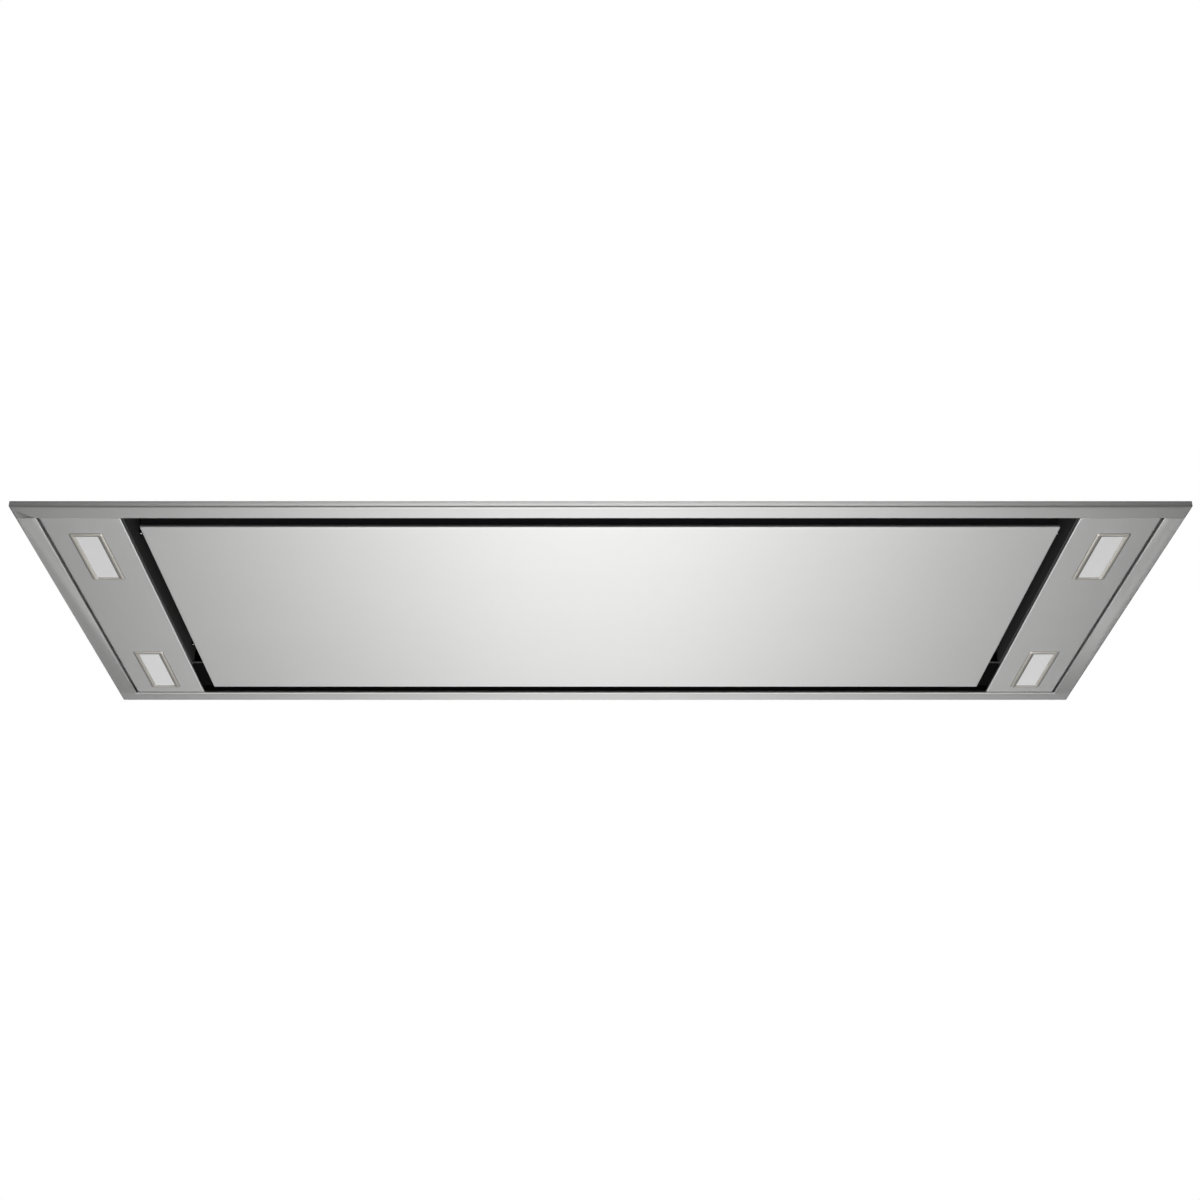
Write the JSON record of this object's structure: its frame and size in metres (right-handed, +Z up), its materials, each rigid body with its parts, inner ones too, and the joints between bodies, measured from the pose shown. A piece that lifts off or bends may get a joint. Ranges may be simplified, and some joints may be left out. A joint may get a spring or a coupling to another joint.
{
  "type": "ceiling range hood",
  "caption": "Flush ceiling range hood: stainless trim with lamps, hinged suction panel with a slot all round, filters, blower and round duct outlet with flaps.",
  "frame": {"origin": "middle of the hood on the ceiling plane, where the trim's lip rests", "axes": "+Z up into the ceiling, +X to the right along the width, +Y to the far side, where the panel's hinges are"},
  "size_m": [1.2, 0.5, 0.3599],
  "materials": {
    "stainless": "brushed along the width",
    "satin_nickel": "satin, warm",
    "frosted_glass": "white, frosted",
    "white_housing": "satin white",
    "led_board": "white solder mask",
    "spring_steel": "bright",
    "black_paint": "satin black",
    "bright_screw": "polished",
    "magnet": "dark, smooth",
    "zinc_steel": "zinc plated",
    "aluminium": "mill finish",
    "latch_plastic": "black, fine grain",
    "galvanised": "galvanised, spangled",
    "black_plastic": "black, fine grain",
    "motor_paint": "dark grey",
    "circuit_board": "green"
  },
  "bodies": {
    "body": {"trim_frame": "stainless", "light_panel_left": "stainless", "light_panel_right": "stainless", "lamp_bezel_left_near": "satin_nickel", "lamp_bezel_left_far": "satin_nickel", "lamp_bezel_right_near": "satin_nickel", "lamp_bezel_right_far": "satin_nickel", "lamp_lens_left_near": "frosted_glass", "lamp_lens_left_far": "frosted_glass", "lamp_lens_right_near": "frosted_glass", "lamp_lens_right_far": "frosted_glass", "lamp_housing_left_near": "white_housing", "lamp_housing_left_far": "white_housing", "lamp_housing_right_near": "white_housing", "lamp_housing_right_far": "white_housing", "led_boards": "led_board", "lamp_clips": "spring_steel", "tray_wall_near": "black_paint", "tray_wall_far": "black_paint", "tray_wall_left": "black_paint", "tray_wall_right": "black_paint", "side_rail_left": "black_paint", "side_rail_right": "black_paint", "side_rail_screws": "bright_screw", "hinge_bracket_left": "black_paint", "hinge_bracket_right": "black_paint", "filter_deck": "black_paint", "catch_magnets": "magnet", "catch_brackets": "black_paint", "filter_hangers": "black_paint", "filter_frame_left": "aluminium", "filter_frame_right": "aluminium", "filter_mesh_left": "aluminium", "filter_mesh_right": "aluminium", "body_shell": "galvanised", "body_top": "galvanised", "motor_box": "galvanised", "motor_box_lid": "galvanised", "case_screws": "zinc_steel", "outlet_collar": "black_plastic", "damper_spindle": "zinc_steel", "blower_scroll": "galvanised", "motor": "motor_paint", "motor_mount": "zinc_steel", "hanger_brackets": "zinc_steel", "control_box": "galvanised", "control_box_lid": "galvanised", "control_board": "circuit_board", "cable_gland": "black_plastic"},
    "suction_panel": {"panel_skin": "stainless", "panel_back": "black_paint", "panel_stiffeners": "aluminium", "hinge_ears": "zinc_steel", "panel_strikes": "zinc_steel"},
    "latch_left": {"filter_latch_left": "latch_plastic"},
    "latch_right": {"filter_latch_right": "latch_plastic"},
    "flap_front": {"damper_flap_front": "black_plastic"},
    "flap_rear": {"damper_flap_rear": "black_plastic"},
    "rotor": {"impeller": "galvanised", "motor_shaft": "zinc_steel"}
  },
  "joints": [
    {"name": "panel_hinge", "type": "hinge", "parent": "body", "child": "suction_panel", "pos_m": [0, 0.192, 0.0045], "axis": [1, 0, 0], "range_deg": [0, 90]},
    {"name": "impeller_spin", "type": "hinge", "parent": "body", "child": "rotor", "pos_m": [0, -0.06, 0.205], "axis": [1, 0, 0], "continuous": true},
    {"name": "damper_flap_front_hinge", "type": "hinge", "parent": "body", "child": "flap_front", "pos_m": [0, 0, 0.317], "axis": [-1, 0, 0], "range_deg": [0, 75]},
    {"name": "damper_flap_rear_hinge", "type": "hinge", "parent": "body", "child": "flap_rear", "pos_m": [0, 0, 0.317], "axis": [1, 0, 0], "range_deg": [0, 75]},
    {"name": "filter_latch_left_slide", "type": "slide", "parent": "body", "child": "latch_left", "axis": [0, 1, 0], "range_m": [0, 0.005], "stiffness_N_per_m": 600, "springref_m": -0.003},
    {"name": "filter_latch_right_slide", "type": "slide", "parent": "body", "child": "latch_right", "axis": [0, 1, 0], "range_m": [0, 0.005], "stiffness_N_per_m": 600, "springref_m": -0.003}
  ]
}
